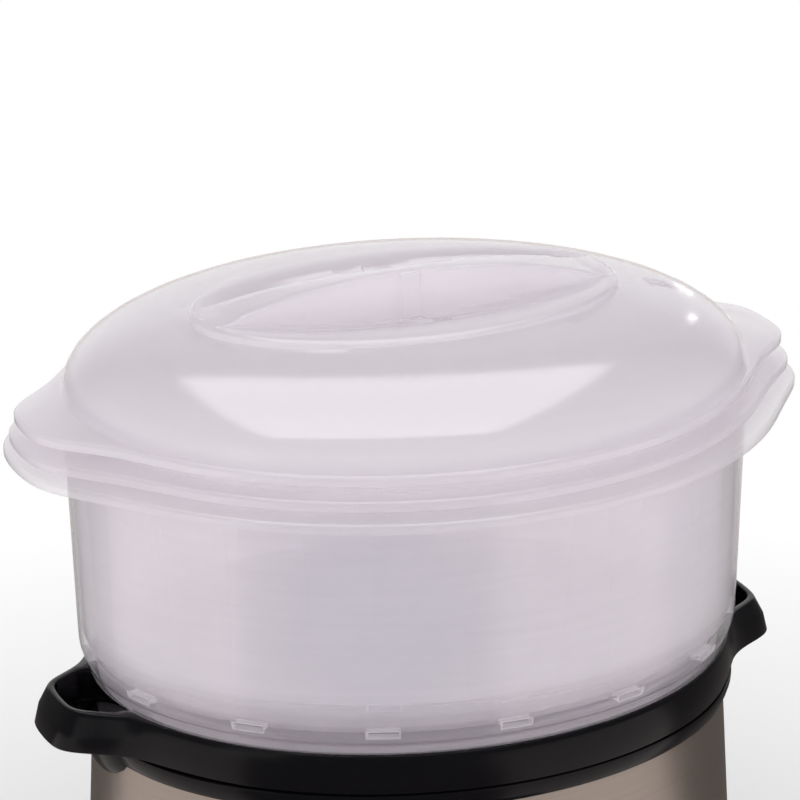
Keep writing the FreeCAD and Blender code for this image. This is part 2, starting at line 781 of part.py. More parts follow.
def make_tank_screws():
    screws = []
    low = tank_flange_top - tank_flange
    for x, y in tank_screw_points():
        head = cylinder(small_head_radius - 0.5, x, y, low - small_head_height, small_head_height)
        screws.append(head.fuse(cylinder(small_screw_radius, x, y, low, tank_flange + 6)))
    return Part.makeCompound(screws)


# Heater ------------------------------------------------------------------------------------

def clamp_screw_points():
    points = []
    for k in range(clamp_screw_count):
        t = radians(30 + 360.0 * k / clamp_screw_count)
        points.append((clamp_screw_circle * cos(t), clamp_screw_circle * sin(t)))
    return points


def make_dish():
    """Stainless plate that closes the tank's floor: a shallow crown inside a flat flange."""
    low = tank_floor_height - seal_thickness - dish_wall
    body = cylinder(dish_radius, 0, 0, low, dish_wall).fuse(
        cylinder(dish_crown_radius, 0, 0, low, dish_top - low))
    return body.cut(cylinder(dish_crown_radius - dish_wall, 0, 0, low, dish_top - dish_wall - low))


def make_seal():
    return ring(heater_hole_radius + seal_width, heater_hole_radius,
                tank_floor_height - seal_thickness, seal_thickness)


def make_clamp():
    low = tank_floor_height - seal_thickness - dish_wall - clamp_thickness
    body = ring(clamp_radius, dish_crown_radius + 2, low, clamp_thickness)
    holes = [cylinder(small_screw_radius + 0.1, x, y, low, clamp_thickness) for x, y in clamp_screw_points()]
    return body.cut(Part.makeCompound(holes))


def make_clamp_screws():
    low = tank_floor_height - seal_thickness - dish_wall - clamp_thickness
    screws = []
    for x, y in clamp_screw_points():
        head = cylinder(small_head_radius, x, y, low - small_head_height, small_head_height)
        shank = cylinder(small_screw_radius, x, y, low, tank_floor_top - 1.2 - low)
        screws.append(head.fuse(shank))
    return Part.makeCompound(screws)


def make_heat_plate():
    return cylinder(dish_crown_radius - dish_wall - 0.4, 0, 0, heat_plate_bottom, heat_plate_thickness)


def make_element():
    """Sheathed heating tube bent into a ring, with a cold pin at each end."""
    level = heat_plate_bottom - element_tube
    sweep = 360 - element_gap_angle
    tube = Part.makeTorus(element_radius, element_tube, V(0, 0, 0), V(0, 0, 1), 0, 360, sweep)
    tube.rotate(V(0, 0, 0), V(0, 0, 1), -90 + element_gap_angle / 2)
    tube.translate(V(0, 0, level))
    parts = [tube]
    for side in (-1, 1):
        t = radians(-90 + side * element_gap_angle / 2)
        x = element_radius * cos(t)
        y = element_radius * sin(t)
        parts.append(Part.makeSphere(element_tube, V(x, y, level)))
        parts.append(cylinder(element_tube, x, y, level - 6, 6))
        parts.append(cylinder(element_pin_radius, x, y, level - element_pin_length, element_pin_length))
    return joined(parts)


def make_cutout():
    body = cylinder(cutout_radius, 0, 0, heat_plate_bottom - cutout_height, cutout_height)
    tags = [block(x - 2.4, x + 2.4, -0.4, 0.4, heat_plate_bottom - cutout_height - 7,
                  heat_plate_bottom - cutout_height + 1) for x in (-4, 4)]
    return body.fuse(tags)


def make_cutout_bracket():
    """Spring strip across the cut-out, its feet on the heat plate."""
    low = heat_plate_bottom - cutout_height - cutout_bracket_metal
    half = cutout_bracket_half
    wide = cutout_bracket_width / 2
    strip = block(-half, half, -wide, wide, low, low + cutout_bracket_metal)
    legs = [block(x, x + cutout_bracket_metal, -wide, wide, low, heat_plate_bottom)
            for x in (-half, half - cutout_bracket_metal)]
    slots = [block(x - 3, x + 3, -0.9, 0.9, low - 1, low + 2) for x in (-4, 4)]
    return strip.fuse(legs).cut(Part.makeCompound(slots))


def make_fuse():
    low = heat_plate_bottom - fuse_radius
    body = cylinder(fuse_radius, -fuse_length / 2, fuse_offset, low, fuse_length, V(1, 0, 0))
    ends = [cylinder(0.5, side * fuse_length / 2 - (4 if side < 0 else 0), fuse_offset, low, 4, V(1, 0, 0))
            for side in (-1, 1)]
    return body.fuse(ends)


# Timer, panel and knob ---------------------------------------------------------------------

def lamp_place():
    t = radians(lamp_angle)
    return lamp_circle * cos(t), timer_height + lamp_circle * sin(t)


def make_panel():
    """Round bezel with a recessed dial floor; its back follows the sleeve."""
    flange = front_cylinder(panel_radius, 0, timer_height, panel_face, half_width - 20)
    flange = flange.cut(sleeve_stack(0.05, foot_pad_height, sleeve_top))
    plug = front_cylinder(panel_plug_radius, 0, timer_height, panel_face, timer_front)
    body = flange.fuse(plug)
    body = body.cut(front_cylinder(dial_recess_radius, 0, timer_height, panel_face, dial_face))
    lamp_x, lamp_z = lamp_place()
    cuts = [front_cylinder(shaft_radius + shaft_clearance, 0, timer_height, panel_face, timer_front),
            front_cylinder(lens_radius + fit_gap, lamp_x, lamp_z, panel_face, timer_front)]
    for x in (-timer_screw_x, timer_screw_x):
        cuts.append(front_cylinder(small_screw_radius + 0.1, x, timer_height, panel_face, timer_front))
        cuts.append(front_cylinder(small_head_radius + 0.2, x, timer_height, panel_face,
                                   dial_face - small_head_height))
    return body.cut(Part.makeCompound(cuts))


def make_dial_plate():
    body = front_cylinder(dial_recess_radius - fit_gap, 0, timer_height,
                          dial_face + dial_plate_thickness, dial_face)
    body = body.cut(front_cylinder(dial_plate_bore, 0, timer_height, panel_face, dial_face))
    lamp_x, lamp_z = lamp_place()
    return body.cut(front_cylinder(lens_radius + fit_gap, lamp_x, lamp_z, panel_face, dial_face))


def make_lens():
    lamp_x, lamp_z = lamp_place()
    front = dial_face + dial_plate_thickness + lens_proud
    body = front_cylinder(lens_radius, lamp_x, lamp_z, front - 1, timer_front)
    dome = Part.makeCone(lens_radius - 0.8, lens_radius, 1, V(lamp_x, -front, lamp_z), V(0, 1, 0))
    return body.fuse(dome)


def make_lamp():
    lamp_x, lamp_z = lamp_place()
    body = front_cylinder(lamp_radius, lamp_x, lamp_z, timer_front, timer_front - lamp_length)
    return body.cut(block(lamp_x - 0.5, lamp_x + 0.5, -(timer_front - lamp_length) - 2,
                          -(timer_front - lamp_length), lamp_z - 2, lamp_z + 2))


def make_timer_case():
    body = block(-timer_half, timer_half, -timer_front, -(timer_front - timer_depth),
                 timer_height - timer_low, timer_height + timer_high)
    cuts = [front_cylinder(shaft_radius + shaft_clearance, 0, timer_height, timer_front,
                           timer_front - 0.6 * timer_depth)]
    for x in (-timer_screw_x, timer_screw_x):
        cuts.append(front_cylinder(small_screw_radius, x, timer_height, timer_front, timer_front - 9))
    return body.cut(Part.makeCompound(cuts))


def make_timer_screws():
    screws = []
    seat = dial_face - small_head_height
    for x in (-timer_screw_x, timer_screw_x):
        head = front_cylinder(small_head_radius, x, timer_height, dial_face, seat)
        shank = front_cylinder(small_screw_radius, x, timer_height, seat, timer_front - 7)
        screws.append(head.fuse(shank))
    return Part.makeCompound(screws)


def make_bell():
    """Gong behind the timer, on a short stem."""
    back = timer_front - timer_depth
    cup = Part.makeCone(bell_radius, bell_radius - 4, bell_depth, V(0, -(back - 1), timer_height), V(0, 1, 0))
    hollow = Part.makeCone(bell_radius - 1, bell_radius - 5, bell_depth - 1,
                           V(0, -(back - 1), timer_height), V(0, 1, 0))
    stem = front_cylinder(2, 0, timer_height, back, back - bell_depth)
    return cup.cut(hollow).fuse(stem)


def make_bracket():
    """Steel saddle that carries the timer above the base plate."""
    low = timer_height - timer_low - bracket_metal
    y0 = -timer_front + 4
    y1 = -(timer_front - timer_depth) - 4
    outer = timer_half + bracket_metal
    floor = block(-outer, outer, y0, y1, low, low + bracket_metal)
    legs = []
    for side in (-1, 1):
        x0 = min(side * timer_half, side * outer)
        legs.append(block(x0, x0 + bracket_metal, y0, y1, plate_top, low + bracket_metal))
        f0 = min(side * timer_half, side * (timer_half + bracket_foot))
        legs.append(block(f0, f0 + bracket_foot, y0, y1, plate_top, plate_top + bracket_metal))
    body = floor.fuse(legs)
    holes = [cylinder(small_screw_radius + 0.1, x, y, plate_top - 1, 5) for x, y, _ in plate_screw_points()[:2]]
    return body.cut(Part.makeCompound(holes))


def make_bracket_screws():
    screws = []
    seat = plate_top + bracket_metal
    for x, y, depth in plate_screw_points()[:2]:
        head = cylinder(small_head_radius, x, y, seat, small_head_height)
        screws.append(head.fuse(cylinder(small_screw_radius, x, y, depth, seat - depth)))
    return Part.makeCompound(screws)


def make_shaft():
    back = timer_front - 0.55 * timer_depth
    front = dial_face + knob_gap + shaft_into_knob
    return front_cylinder(shaft_radius, 0, timer_height, front, back)


def make_knob():
    """Round knob with a bar across its face; at rest the bar points to OFF."""
    back = dial_face + knob_gap
    skirt = Part.makeCone(knob_radius, knob_radius - 0.8, knob_skirt, V(0, -back, timer_height), V(0, -1, 0))
    bar_half = knob_radius - 2
    bar = block(-knob_grip_half, knob_grip_half, -knob_front, -(back + knob_skirt - 1),
                timer_height - bar_half, timer_height + bar_half)
    bar = bar.common(Part.makeCone(bar_half + knob_draft, bar_half - knob_draft, knob_front - back,
                                   V(0, -back, timer_height), V(0, -1, 0)))
    body = skirt.fuse(bar)
    body = body.cut(front_cylinder(shaft_radius, 0, timer_height, back + shaft_into_knob, back))
    mark = block(-0.7, 0.7, -knob_front, -(knob_front - 0.6), timer_height + 0.35 * bar_half,
                 timer_height + bar_half)
    body = body.cut(mark)
    relief = front_cylinder(knob_radius - 2.5, 0, timer_height, back + 1.5, back)
    body = body.cut(relief.cut(front_cylinder(shaft_radius + 2.5, 0, timer_height, back + 1.5, back)))
    body.rotate(V(0, 0, timer_height), V(0, 1, 0), -150)
    return body


# Mains inlet -------------------------------------------------------------------------------

def make_gland():
    wall = half_width + sleeve_offset(gland_height)
    outer = cylinder(gland_flange, 0, wall - 4, gland_height, 4 + gland_flange_thickness, V(0, 1, 0))
    outer = outer.cut(sleeve_stack(0.05, foot_pad_height, sleeve_top))
    body = cylinder(gland_radius, 0, wall - gland_inside, gland_height, gland_inside + 1, V(0, 1, 0))
    bore = cylinder(gland_bore, 0, wall - gland_inside - 1, gland_height, 40, V(0, 1, 0))
    return outer.fuse(body).cut(bore)


def make_cord_clamp():
    y0 = clamp_post_y - clamp_depth / 2
    body = block(-clamp_half, clamp_half, y0, y0 + clamp_depth, gland_height + gland_bore,
                 gland_height + gland_bore + clamp_bar)
    holes = [cylinder(small_screw_radius + 0.1, x, y, plate_top, 60) for x, y, _ in plate_screw_points()[2:]]
    return body.cut(Part.makeCompound(holes))


def make_clamp_bar_screws():
    screws = []
    seat = gland_height + gland_bore + clamp_bar
    for x, y, _ in plate_screw_points()[2:]:
        head = cylinder(small_head_radius, x, y, seat, small_head_height)
        low = gland_height - gland_bore - 9
        screws.append(head.fuse(cylinder(small_screw_radius, x, y, low, seat - low)))
    return Part.makeCompound(screws)


def make_terminal_block():
    y0 = terminal_y - terminal_depth / 2
    body = block(-terminal_half, terminal_half, y0, y0 + terminal_depth, plate_top, plate_top + terminal_height)
    cuts = []
    pitch = 2 * terminal_half / terminal_ways
    for k in range(terminal_ways):
        x = -terminal_half + (k + 0.5) * pitch
        cuts.append(cylinder(2.2, x, y0 + 3.5, plate_top + terminal_height - 3, 4))
        cuts.append(cylinder(2.2, x, y0 + terminal_depth - 3.5, plate_top + terminal_height - 3, 4))
    return body.cut(Part.makeCompound(cuts))


# Steam ring and drip tray ------------------------------------------------------------------

def make_steam_ring():
    low = tank_floor_top + lift_gap
    body = ring(steam_ring_radius, steam_ring_radius - steam_ring_wall, low, steam_ring_height)
    notches = []
    for k in range(steam_notch_count):
        notch = block(0, steam_ring_radius + 5, -steam_notch_width / 2, steam_notch_width / 2,
                      low, low + steam_notch_height)
        notches.append(turned(notch, 45 + 360.0 * k / steam_notch_count))
    return body.cut(Part.makeCompound(notches))


def make_drip_tray():
    seat = ledge + lift_gap
    low = seat + tray_flange - tray_depth - tray_wall
    flange = oval_stack([
        (collar_top_offset - land_width - tray_flange_gap, seat),
        (collar_top_offset - land_width - tray_flange_gap, seat + tray_flange)])
    pan = oval_stack([
        (tray_wall_offset - 4, low), (tray_wall_offset - 1, low + 2.5), (tray_wall_offset, seat + tray_flange)])
    inside = oval_stack([
        (tray_wall_offset - tray_wall - 3.5, low + tray_wall),
        (tray_wall_offset - tray_wall - 1, low + tray_wall + 2),
        (tray_wall_offset - tray_wall, seat + tray_flange)])
    chimney = cylinder(chimney_radius, 0, 0, low, tray_wall + chimney_height)
    body = flange.fuse(pan).cut(inside).fuse(chimney)
    return body.cut(cylinder(chimney_radius - tray_wall, 0, 0, low, 40))


# Files -------------------------------------------------------------------------------------

def make_all():
    return {
        "collar": make_collar(),
        "trim_ring": make_trim_ring(),
        "steel_sleeve": make_sleeve(),
        "base_plate": make_base_plate(),
        "feet": make_feet(),
        "base_screws": make_base_screws(),
        "water_tank": make_tank(),
        "tank_screws": make_tank_screws(),
        "heater_dish": make_dish(),
        "heater_seal": make_seal(),
        "heater_clamp": make_clamp(),
        "heater_screws": make_clamp_screws(),
        "heat_plate": make_heat_plate(),
        "heating_element": make_element(),
        "thermal_cutout": make_cutout(),
        "cutout_bracket": make_cutout_bracket(),
        "thermal_fuse": make_fuse(),
        "control_panel": make_panel(),
        "dial_plate": make_dial_plate(),
        "indicator_lens": make_lens(),
        "indicator_lamp": make_lamp(),
        "timer_case": make_timer_case(),
        "timer_screws": make_timer_screws(),
        "timer_bell": make_bell(),
        "timer_bracket": make_bracket(),
        "bracket_screws": make_bracket_screws(),
        "timer_shaft": make_shaft(),
        "timer_knob": make_knob(),
        "cord_gland": make_gland(),
        "cord_clamp": make_cord_clamp(),
        "cord_clamp_screws": make_clamp_bar_screws(),
        "terminal_block": make_terminal_block(),
        "steam_ring": make_steam_ring(),
        "drip_tray": make_drip_tray(),
        "basket_large": basket(large_foot, 0, large_flange_height, large_flange_offset,
                               large_tab_reach, large_tab_half_span, nest_rise),
        "basket_medium": basket(medium_foot, medium_shift, medium_flange_height, medium_flange_offset,
                                medium_tab_reach, medium_tab_half_span, lid_seat_rise),
        "lid": make_lid(),
    }


os.makedirs("parts", exist_ok=True)
for name, shape in make_all().items():
    shape.exportStep("parts/" + name + ".step")
    box = shape.BoundBox
    print("%-18s solids %d valid %s volume %.1f cm3 x %.1f..%.1f y %.1f..%.1f z %.1f..%.1f" % (
        name, len(shape.Solids), shape.isValid(), shape.Volume / 1000,
        box.XMin, box.XMax, box.YMin, box.YMax, box.ZMin, box.ZMax))
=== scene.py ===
import bpy
from math import cos, pi, radians, sin
from mathutils import Matrix, Vector


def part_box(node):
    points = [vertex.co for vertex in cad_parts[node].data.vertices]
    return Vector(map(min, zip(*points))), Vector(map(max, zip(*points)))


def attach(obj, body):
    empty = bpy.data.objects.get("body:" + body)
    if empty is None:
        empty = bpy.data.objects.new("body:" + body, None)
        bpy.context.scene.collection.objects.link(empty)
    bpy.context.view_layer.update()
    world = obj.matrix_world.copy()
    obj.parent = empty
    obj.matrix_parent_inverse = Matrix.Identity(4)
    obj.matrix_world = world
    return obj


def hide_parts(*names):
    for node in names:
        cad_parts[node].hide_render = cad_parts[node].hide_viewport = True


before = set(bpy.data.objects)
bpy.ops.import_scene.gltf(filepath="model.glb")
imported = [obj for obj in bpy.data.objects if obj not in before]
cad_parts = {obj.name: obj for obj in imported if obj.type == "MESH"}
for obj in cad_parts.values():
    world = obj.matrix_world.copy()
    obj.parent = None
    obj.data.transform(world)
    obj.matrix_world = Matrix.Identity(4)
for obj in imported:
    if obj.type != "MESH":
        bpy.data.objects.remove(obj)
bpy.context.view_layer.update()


# Base plate: black injection-moulded plastic that closes the base from below. Its edge shows
# as a dark line under the steel wrap, and its upstand keeps the wrap round.

class Wire:
    """One output in a node tree, so that a finish can be written with sums and products."""

    def __init__(self, tree, socket=None):
        self.tree = tree
        self.socket = socket

    def node(self, kind, settings=None, inputs=None, out=0):
        """A new node: its settings first, then the values or links of its inputs. Gives its output."""
        node = self.tree.nodes.new(kind)
        for key, value in (settings or {}).items():
            setattr(node, key, value)
        for key, value in (inputs or {}).items():
            if isinstance(value, Wire):
                self.tree.links.new(value.socket, node.inputs[key])
            else:
                node.inputs[key].default_value = value
        return Wire(self.tree, node.outputs[out]) if node.outputs else None

    def calc(self, operation, first, second=0.0):
        """A number worked out from one or two others."""
        return self.node("ShaderNodeMath", {"operation": operation}, {0: first, 1: second})

    def vector(self, operation, other=(0, 0, 0), out=0):
        """This vector worked on, alone or with another one."""
        return self.node("ShaderNodeVectorMath", {"operation": operation}, {0: self, 1: other}, out)

    def slope(self, low, high, first, last, kind="SMOOTHSTEP"):
        """Goes from first to last while this number goes from low to high."""
        return self.node("ShaderNodeMapRange", {"interpolation_type": kind}, {
            "Value": self, "From Min": low, "From Max": high, "To Min": first, "To Max": last})

    def tint(self, first, second):
        """A colour between two, the second one where this number is 1."""
        return self.node("ShaderNodeMix", {"data_type": "RGBA"}, {0: self, 6: first, 7: second}, 2)

    def layer(self, share, first, second):
        """A surface between two, the second one where the share is 1."""
        return self.node("ShaderNodeMixShader", None, {0: share, 1: first, 2: second})

    def __add__(self, other):
        return self.calc("ADD", self, other)

    def __radd__(self, other):
        return self.calc("ADD", other, self)

    def __sub__(self, other):
        return self.calc("SUBTRACT", self, other)

    def __rsub__(self, other):
        return self.calc("SUBTRACT", other, self)

    def __mul__(self, other):
        return self.calc("MULTIPLY", self, other)

    def __rmul__(self, other):
        return self.calc("MULTIPLY", other, self)

    def __pow__(self, other):
        return self.calc("POWER", self, other)


def new_finish(name):
    """An empty finish, and the wire that its other nodes are made from."""
    finish = bpy.data.materials.new(name)
    finish.use_nodes = True
    finish.node_tree.nodes.clear()
    return finish, Wire(finish.node_tree)


def close_finish(start, surface):
    """Joins a surface to the finish's output."""
    start.node("ShaderNodeOutputMaterial", None, {"Surface": surface})


def object_place(start):
    """The place of a point in the object's own coordinates, in metres."""
    return start.node("ShaderNodeTexCoord", None, None, "Object")


def noise(start, stretch, scale, detail, roughness=0.5):
    """Cloudy noise in the object's own coordinates, each axis stretched by its own factor."""
    place = start.node("ShaderNodeMapping", None, {"Vector": object_place(start), "Scale": stretch})
    return start.node("ShaderNodeTexNoise", None, {
        "Vector": place, "Scale": scale, "Detail": detail, "Roughness": roughness})


def bumps(start, height, strength, depth):
    """A surface normal that follows a height, where 1 is as high as the depth."""
    return start.node("ShaderNodeBump", None, {"Height": height, "Strength": strength, "Distance": depth})


def moulded_plastic(name, dark, light, roughness, grain_size, grain_depth, coat=0.0, shine=0.5):
    """Moulded plastic: a slight drift of colour, fine grain and a touch of uneven gloss."""
    finish, start = new_finish(name)
    broad = noise(start, (1, 1, 1), scale=14.0, detail=2.0)
    grain = noise(start, (1, 1, 1), scale=1.0 / grain_size, detail=3.0)
    close_finish(start, start.node("ShaderNodeBsdfPrincipled", None, {
        "Base Color": broad.tint(dark, light), "Roughness": broad * 0.12 + (roughness - 0.06),
        "Normal": bumps(start, grain, strength=0.3, depth=grain_depth),
        "Coat Weight": coat, "Specular IOR Level": shine}))
    return finish


def dress(node, finish):
    """Gives one of the CAD's own solids its finish, and leaves its shape as it is."""
    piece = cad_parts[node]
    piece.data.materials.clear()
    piece.data.materials.append(finish)


dress("base_plate", moulded_plastic(
    "satin_black_plastic", (0.010, 0.010, 0.011, 1), (0.020, 0.020, 0.022, 1),
    roughness=0.42, grain_size=0.0012, grain_depth=0.0001))


# Feet: four soft pads of black rubber, each moulded in one piece and pressed into a socket in the
# underside of the base plate.

def grey(level):
    """A plain grey, opaque."""
    return (level, level, level, 1)


dress("feet", moulded_plastic(
    "foot_rubber", grey(0.014), grey(0.03), roughness=0.75, grain_size=0.0008, grain_depth=0.0001))


# Screws: zinc-plated steel. Those of the base, the tank and the heater go up from below, the
# timer's go in through the panel, and those of the timer's saddle and the cord clamp go down into
# the base plate.

def plain_metal(name, dark, light, roughness, stretch, grain, depth):
    """Metal with faint marks of how it was made, stretched along one axis."""
    finish, start = new_finish(name)
    marks = noise(start, stretch, grain, detail=4.0, roughness=0.65)
    close_finish(start, start.node("ShaderNodeBsdfPrincipled", None, {
        "Base Color": marks.tint(dark, light), "Metallic": 1.0,
        "Roughness": marks * 0.2 + (roughness - 0.1),
        "Normal": bumps(start, marks, strength=0.4, depth=depth)}))
    return finish


zinc = plain_metal("zinc_plate", (0.5, 0.5, 0.47, 1), (0.72, 0.72, 0.7, 1), roughness=0.35,
                   stretch=(1, 1, 1), grain=400.0, depth=0.00005)
for screws in ("base_screws", "tank_screws", "heater_screws", "timer_screws", "bracket_screws",
               "cord_clamp_screws"):
    dress(screws, zinc)


# Water tank: dark grey moulding with the four columns that the base screws bite into. Six screws
# hold its flange up against the collar.

dress("water_tank", moulded_plastic(
    "tank_plastic", (0.035, 0.035, 0.04, 1), (0.06, 0.06, 0.066, 1),
    roughness=0.4, grain_size=0.002, grain_depth=0.0001))


# Heater: a spun stainless dish closes the hole in the tank's floor on a silicone seal, pulled up
# by a cast ring. Under it lie the heat plate, the sheathed element and the safety parts.

dress("heater_dish", plain_metal(
    "spun_steel", grey(0.5), (0.68, 0.67, 0.66, 1), roughness=0.3,
    stretch=(1, 1, 40), grain=30.0, depth=0.00005))
dress("heater_seal", moulded_plastic(
    "silicone", (0.3, 0.06, 0.04, 1), (0.42, 0.10, 0.06, 1),
    roughness=0.5, grain_size=0.001, grain_depth=0.00005))
cast = plain_metal("cast_aluminium", (0.5, 0.5, 0.51, 1), grey(0.7), roughness=0.5,
                   stretch=(1, 1, 1), grain=300.0, depth=0.0001)
dress("heater_clamp", cast)
dress("heat_plate", cast)
dress("heating_element", plain_metal(
    "scaled_sheath", (0.16, 0.15, 0.15, 1), (0.42, 0.4, 0.38, 1), roughness=0.5,
    stretch=(1, 1, 1), grain=160.0, depth=0.0001))
dress("thermal_cutout", moulded_plastic(
    "brown_resin", (0.03, 0.016, 0.01, 1), (0.06, 0.03, 0.02, 1),
    roughness=0.4, grain_size=0.001, grain_depth=0.00005))
dress("cutout_bracket", plain_metal(
    "spring_steel", (0.4, 0.4, 0.42, 1), (0.62, 0.62, 0.64, 1), roughness=0.3,
    stretch=(1, 30, 1), grain=40.0, depth=0.00003))
dress("thermal_fuse", moulded_plastic(
    "glass_sleeve", (0.55, 0.53, 0.48, 1), (0.75, 0.73, 0.68, 1),
    roughness=0.6, grain_size=0.0006, grain_depth=0.0001))


# Mains inlet: a rubber gland in the back of the wrap, a clamp bar on the base plate's post, and a
# terminal block. The cord itself isn't part of this object.

dress("cord_gland", moulded_plastic(
    "gland_rubber", grey(0.010), grey(0.02), roughness=0.6, grain_size=0.0008, grain_depth=0.0001))
dress("cord_clamp", moulded_plastic(
    "clamp_plastic", grey(0.02), grey(0.04), roughness=0.5, grain_size=0.001, grain_depth=0.0001))
dress("terminal_block", moulded_plastic(
    "thermoset", (0.5, 0.48, 0.42, 1), (0.68, 0.66, 0.6, 1),
    roughness=0.45, grain_size=0.001, grain_depth=0.0001))


# Timer: a white moulded clockwork case on a zinc-plated saddle, with a nickel-plated bell behind
# it and a steel shaft out to the knob.

dress("timer_case", moulded_plastic(
    "white_nylon", (0.62, 0.61, 0.58, 1), (0.8, 0.79, 0.76, 1),
    roughness=0.4, grain_size=0.001, grain_depth=0.0001))
dress("timer_bell", plain_metal(
    "nickel", (0.55, 0.52, 0.44, 1), (0.8, 0.77, 0.68, 1), roughness=0.2,
    stretch=(1, 1, 1), grain=60.0, depth=0.00002))
dress("timer_bracket", zinc)
dress("timer_shaft", zinc)


# Control panel: glossy black bezel round a recessed dial, with plain light numbers for the
# minutes, a red indicator lens below and the knob in the middle.

weld_distance = 0.000002     # metres, as every length here
flat_angle = radians(0.4)    # triangles that lie flatter than this are joined
most_sides = 8               # a face with more sides is split again, so that no ring's opening closes
corner_angle = radians(35.0)
smooth_angle = radians(42.0)


def eased(node, body, finish, width):
    """A copy of a solid with its loose triangles joined and its sharp corners eased to a small round."""
    bpy.ops.object.select_all(action="DESELECT")
    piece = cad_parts[node].copy()
    piece.data = piece.data.copy()
    piece.parent = None
    piece.name = node + "_eased"
    for key in list(piece.keys()):
        del piece[key]
    bpy.context.scene.collection.objects.link(piece)
    piece.select_set(True)
    bpy.context.view_layer.objects.active = piece
    if piece.data.has_custom_normals:
        bpy.ops.mesh.customdata_custom_splitnormals_clear()
    bpy.ops.object.mode_set(mode="EDIT")
    bpy.ops.mesh.select_all(action="SELECT")
    bpy.ops.mesh.remove_doubles(threshold=weld_distance)
    bpy.ops.mesh.dissolve_limited(angle_limit=flat_angle)
    bpy.ops.mesh.select_mode(type="FACE")
    bpy.ops.mesh.select_all(action="DESELECT")
    bpy.ops.mesh.select_face_by_sides(number=most_sides, type="GREATER")
    bpy.ops.mesh.quads_convert_to_tris(ngon_method="BEAUTY")
    bpy.ops.object.mode_set(mode="OBJECT")
    edge = piece.modifiers.new("edge", "BEVEL")
    edge.width = width
    edge.segments = 2
    edge.limit_method = "ANGLE"
    edge.angle_limit = corner_angle
    edge.use_clamp_overlap = False
    bpy.ops.object.modifier_apply(modifier="edge")
    bpy.ops.object.shade_smooth_by_angle(angle=smooth_angle)
    piece.data.materials.clear()
    piece.data.materials.append(finish)
    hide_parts(node)
    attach(piece, body)


eased("control_panel", "base", moulded_plastic(
    "gloss_black_panel", (0.005, 0.005, 0.006, 1), (0.009, 0.008, 0.011, 1),
    roughness=0.16, grain_size=0.02, grain_depth=0.00005, coat=0.3), width=0.0005)
dress("dial_plate", moulded_plastic(
    "dial_black", (0.012, 0.012, 0.013, 1), (0.02, 0.02, 0.022, 1),
    roughness=0.45, grain_size=0.001, grain_depth=0.00005))

dial_ink = moulded_plastic("dial_ink", (0.62, 0.62, 0.60, 1), (0.74, 0.74, 0.72, 1),
                           roughness=0.5, grain_size=0.0006, grain_depth=0.00002)
dial_low, dial_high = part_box("dial_plate")
dial_middle = (dial_low + dial_high) / 2
dial_front = dial_low.y
ink_depth = 0.00015
ink_sunk = 0.00003           # how far the ink reaches into the dial
ink_reach = 0.0262           # middle of the dial to the middle of a number or stroke
number_height = 0.0040
stroke_height = 0.0024
stroke_slimness = 0.22       # width of a stroke as a share of its height
dial_minutes = 60
lens_minutes = 35            # the indicator lens takes this stroke's place
minute = radians(300.0) / dial_minutes
facing_front = Matrix(((1, 0, 0, 0), (0, 0, -1, 0), (0, 1, 0, 0), (0, 0, 0, 1)))


def ink_words(words):
    """Words as a mesh of thin raised ink, upright round the origin."""
    bpy.ops.object.text_add()
    mark = bpy.context.active_object
    mark.data.body = words
    mark.data.size = number_height
    mark.data.align_x = "CENTER"
    mark.data.align_y = "CENTER"
    mark.data.extrude = ink_depth / 2
    bpy.ops.object.convert(target="MESH")
    bpy.ops.object.mode_set(mode="EDIT")
    bpy.ops.mesh.select_all(action="SELECT")
    bpy.ops.mesh.remove_doubles(threshold=weld_distance)
    bpy.ops.object.mode_set(mode="OBJECT")
    return bpy.context.active_object


def ink_stroke():
    """A short upright stroke of raised ink round the origin."""
    bpy.ops.mesh.primitive_cube_add(size=1.0)
    bpy.ops.object.mode_set(mode="EDIT")
    bpy.ops.transform.resize(value=(stroke_height * stroke_slimness, stroke_height, ink_depth))
    bpy.ops.mesh.bevel(offset=ink_depth * 0.3, segments=1)
    bpy.ops.object.mode_set(mode="OBJECT")
    return bpy.context.active_object


def put_on_dial(mark, name, turn, lean):
    """Sets ink on the dial, turned clockwise from the top, and leaning by its own angle."""
    place = Matrix.Translation((
        dial_middle.x + ink_reach * sin(turn),
        dial_front - ink_depth / 2 + ink_sunk,
        dial_middle.z + ink_reach * cos(turn)))
    mark.name = name
    mark.data.transform(place @ facing_front @ Matrix.Rotation(lean, 4, "Z"))
    mark.matrix_world = Matrix.Identity(4)
    mark.data.materials.clear()
    mark.data.materials.append(dial_ink)
    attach(mark, "base")


bpy.ops.object.select_all(action="DESELECT")
put_on_dial(ink_words("OFF"), "dial_off", 0.0, 0.0)
for minutes in range(10, dial_minutes + 1, 10):
    put_on_dial(ink_words(str(minutes)), "dial_%d" % minutes, minutes * minute, 0.0)
for minutes in range(5, dial_minutes, 10):
    if minutes != lens_minutes:
        put_on_dial(ink_stroke(), "dial_stroke_%d" % minutes, minutes * minute, -minutes * minute)

dress("indicator_lens", moulded_plastic(
    "red_lens", (0.35, 0.01, 0.008, 1), (0.6, 0.03, 0.02, 1),
    roughness=0.15, grain_size=0.004, grain_depth=0.00005, coat=0.5))
dress("indicator_lamp", moulded_plastic(
    "lamp_glass", (0.6, 0.4, 0.3, 1), (0.8, 0.6, 0.5, 1),
    roughness=0.2, grain_size=0.004, grain_depth=0.00005, coat=0.5))
eased("timer_knob", "knob", moulded_plastic(
    "gloss_black_knob", (0.006, 0.006, 0.007, 1), (0.012, 0.012, 0.013, 1),
    roughness=0.2, grain_size=0.02, grain_depth=0.00005, coat=0.4), width=0.0004)


# Steel wrap: stainless sheet, rolled to the oval and brushed level all the way round. The base
# plate's upstand holds it below, and a rebate in the trim ring holds it above.

